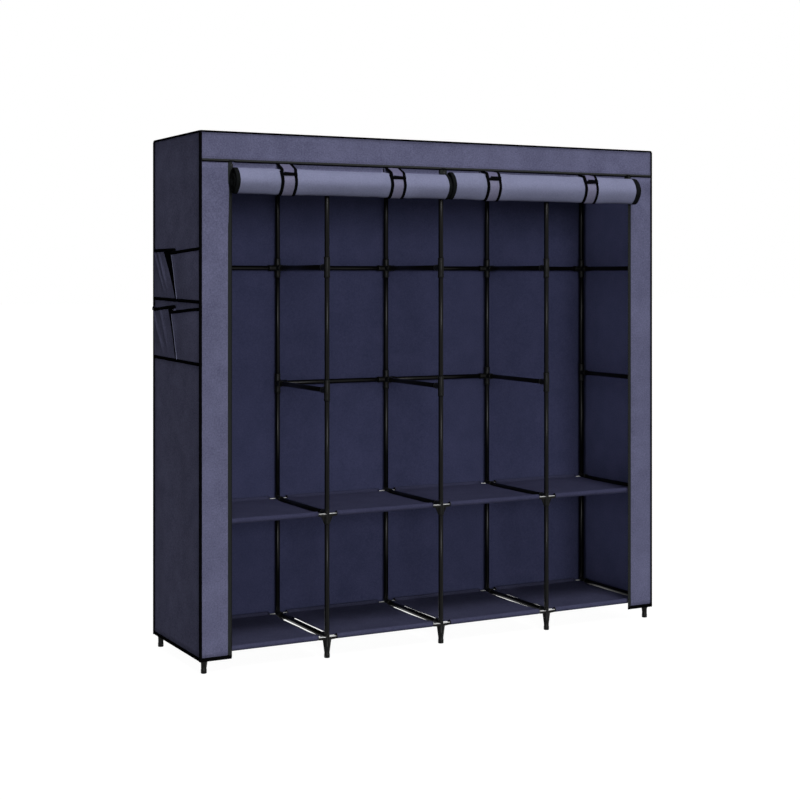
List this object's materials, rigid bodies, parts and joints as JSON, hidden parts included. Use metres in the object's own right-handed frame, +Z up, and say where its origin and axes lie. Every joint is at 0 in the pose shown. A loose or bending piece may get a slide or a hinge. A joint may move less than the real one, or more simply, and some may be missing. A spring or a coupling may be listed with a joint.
{
  "type": "portable fabric wardrobe",
  "caption": "Free-standing fabric wardrobe: plugged tube frame, sewn cloth cover, two doors rolled up and strapped open, cloth shelves and side pockets.",
  "frame": {"origin": "on the floor, at the middle of the width and depth of the bounding box, which takes in the rolled doors in front and the side pockets", "axes": "+X to the right of someone who faces the open front, +Y to the back panel, +Z up"},
  "size_m": [1.7428, 0.4988, 1.675],
  "materials": {
    "frame_tube": "black baked paint, satin",
    "connector_plastic": "moulded black, satin",
    "cover_cloth": "non-woven cloth, matte, grey-blue",
    "shelf_cloth": "non-woven cloth, matte, dark grey-blue",
    "strap_cloth": "non-woven cloth strap, matte, grey-blue with black edges",
    "binding_tape": "black bias binding, matte",
    "zip_metal": "black enamelled zip slider"
  },
  "bodies": {
    "root": {"front_lower_post_1": "frame_tube", "front_lower_post_2": "frame_tube", "front_lower_post_3": "frame_tube", "front_lower_post_4": "frame_tube", "front_lower_post_5": "frame_tube", "back_post_1": "frame_tube", "back_post_2": "frame_tube", "back_post_3": "frame_tube", "back_post_4": "frame_tube", "back_post_5": "frame_tube", "lower_front_rail": "frame_tube", "lower_back_rail": "frame_tube", "shelf_front_rail": "frame_tube", "shelf_back_rail": "frame_tube", "middle_back_rail": "frame_tube", "upper_back_rail": "frame_tube", "top_front_rail": "frame_tube", "top_back_rail": "frame_tube", "front_upper_post_1": "frame_tube", "front_upper_post_2": "frame_tube", "front_upper_post_3": "frame_tube", "front_upper_post_4": "frame_tube", "front_upper_post_5": "frame_tube", "hanging_rod_1": "frame_tube", "hanging_rod_2": "frame_tube", "hanging_rod_3": "frame_tube", "hanging_rod_4": "frame_tube", "lower_shelf_1": "shelf_cloth", "lower_shelf_2": "shelf_cloth", "lower_shelf_3": "shelf_cloth", "lower_shelf_4": "shelf_cloth", "upper_shelf_1": "shelf_cloth", "upper_shelf_2": "shelf_cloth", "upper_shelf_3": "shelf_cloth", "upper_shelf_4": "shelf_cloth", "cover_top": "cover_cloth", "cover_back": "cover_cloth", "cover_left_side": "cover_cloth", "cover_right_side": "cover_cloth", "cover_front_band": "cover_cloth", "cover_left_flap": "cover_cloth", "cover_right_flap": "cover_cloth", "door_left": "cover_cloth", "door_right": "cover_cloth", "strap_loop_1": "strap_cloth", "strap_loop_2": "strap_cloth", "strap_loop_3": "strap_cloth", "strap_loop_4": "strap_cloth", "side_pocket_upper": "cover_cloth", "side_pocket_lower": "cover_cloth"},
    "tab_1": {"strap_tab_1": "strap_cloth"},
    "tab_2": {"strap_tab_2": "strap_cloth"},
    "tab_3": {"strap_tab_3": "strap_cloth"},
    "tab_4": {"strap_tab_4": "strap_cloth"},
    "slider_left": {"zip_slider_left": "zip_metal"},
    "slider_middle": {"zip_slider_middle": "zip_metal"},
    "slider_right": {"zip_slider_right": "zip_metal"},
    "pull_left": {"zip_pull_left": "zip_metal"},
    "pull_middle": {"zip_pull_middle": "zip_metal"},
    "pull_right": {"zip_pull_right": "zip_metal"}
  },
  "joints": [
    {"name": "tab_1_lift", "type": "hinge", "parent": "root", "child": "tab_1", "pos_m": [-0.5685, -0.18175, 1.5839], "axis": [-1, 0, 0], "range_deg": [0, 100]},
    {"name": "tab_2_lift", "type": "hinge", "parent": "root", "child": "tab_2", "pos_m": [-0.1811, -0.18175, 1.5839], "axis": [-1, 0, 0], "range_deg": [0, 100]},
    {"name": "tab_3_lift", "type": "hinge", "parent": "root", "child": "tab_3", "pos_m": [0.1835, -0.18175, 1.5839], "axis": [-1, 0, 0], "range_deg": [0, 100]},
    {"name": "tab_4_lift", "type": "hinge", "parent": "root", "child": "tab_4", "pos_m": [0.5799, -0.18175, 1.5839], "axis": [-1, 0, 0], "range_deg": [0, 100]},
    {"name": "slider_left_slide", "type": "slide", "parent": "root", "child": "slider_left", "axis": [0, 0, 1], "range_m": [0, 0.007]},
    {"name": "slider_middle_slide", "type": "slide", "parent": "root", "child": "slider_middle", "axis": [0, 0, 1], "range_m": [0, 0.007]},
    {"name": "slider_right_slide", "type": "slide", "parent": "root", "child": "slider_right", "axis": [0, 0, 1], "range_m": [0, 0.007]},
    {"name": "pull_left_swing", "type": "hinge", "parent": "slider_left", "child": "pull_left", "pos_m": [-0.7461, -0.18475, 1.5734], "axis": [-1, 0, 0], "range_deg": [0, 150]},
    {"name": "pull_middle_swing", "type": "hinge", "parent": "slider_middle", "child": "pull_middle", "pos_m": [0.0114, -0.18475, 1.5734], "axis": [-1, 0, 0], "range_deg": [0, 150]},
    {"name": "pull_right_swing", "type": "hinge", "parent": "slider_right", "child": "pull_right", "pos_m": [0.7689, -0.18475, 1.5734], "axis": [-1, 0, 0], "range_deg": [0, 150]}
  ]
}
